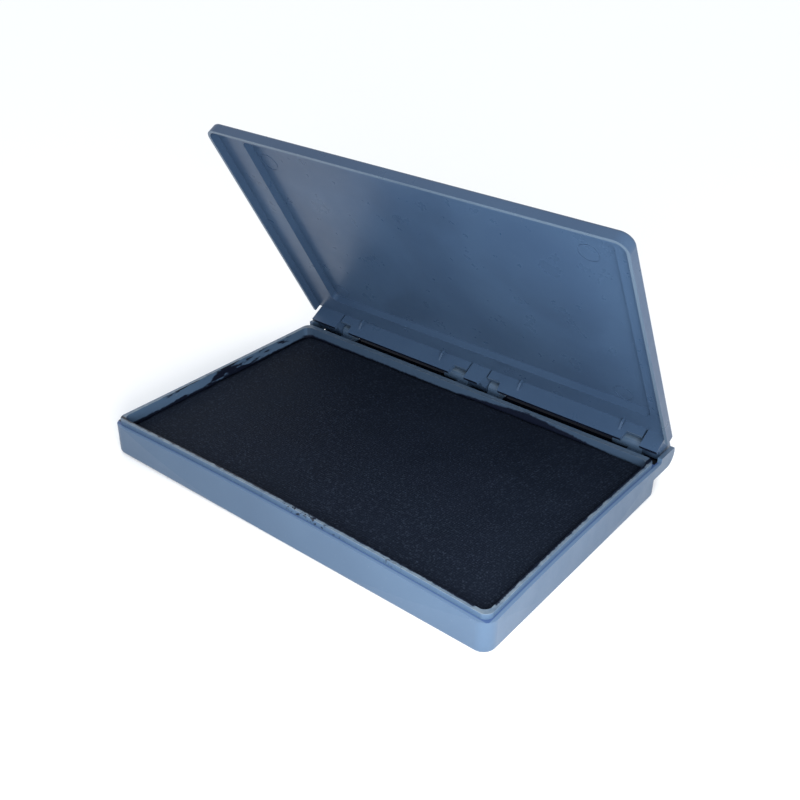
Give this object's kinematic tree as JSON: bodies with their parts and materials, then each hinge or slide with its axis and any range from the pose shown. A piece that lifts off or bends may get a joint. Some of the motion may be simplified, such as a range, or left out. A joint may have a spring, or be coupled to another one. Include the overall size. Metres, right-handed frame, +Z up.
{
  "type": "ink pad",
  "caption": "Office ink pad: a shallow moulded tray with a snap-hinged sunk-panel lid over a cloth-covered felt pad for rubber stamps.",
  "frame": {"origin": "centre of the tray's flat underside", "axes": "+X towards the right end, +Y towards the hinge at the rear, +Z up through the pad"},
  "size_m": [0.115, 0.0801, 0.0758],
  "materials": {
    "tray_plastic": "polished slate-blue injection moulding, ink-stained inside",
    "lid_plastic": "darker slate-blue injection moulding, satin inside",
    "ink_cloth": "fine plain-weave cotton soaked in blue-black ink",
    "ink_felt": "dense wool felt soaked in blue-black ink",
    "pad_board": "pressed fibre board, dull"
  },
  "bodies": {
    "tray": {"base_tray": "tray_plastic", "pad_board": "pad_board", "pad_felt": "ink_felt", "pad_cloth": "ink_cloth"},
    "lid": {"lid": "lid_plastic"}
  },
  "joints": [
    {"name": "lid_hinge", "type": "hinge", "parent": "tray", "child": "lid", "pos_m": [0, 0.0409, 0.00825], "axis": [-1, 0, 0], "range_deg": [-59.5, 60.5]}
  ]
}
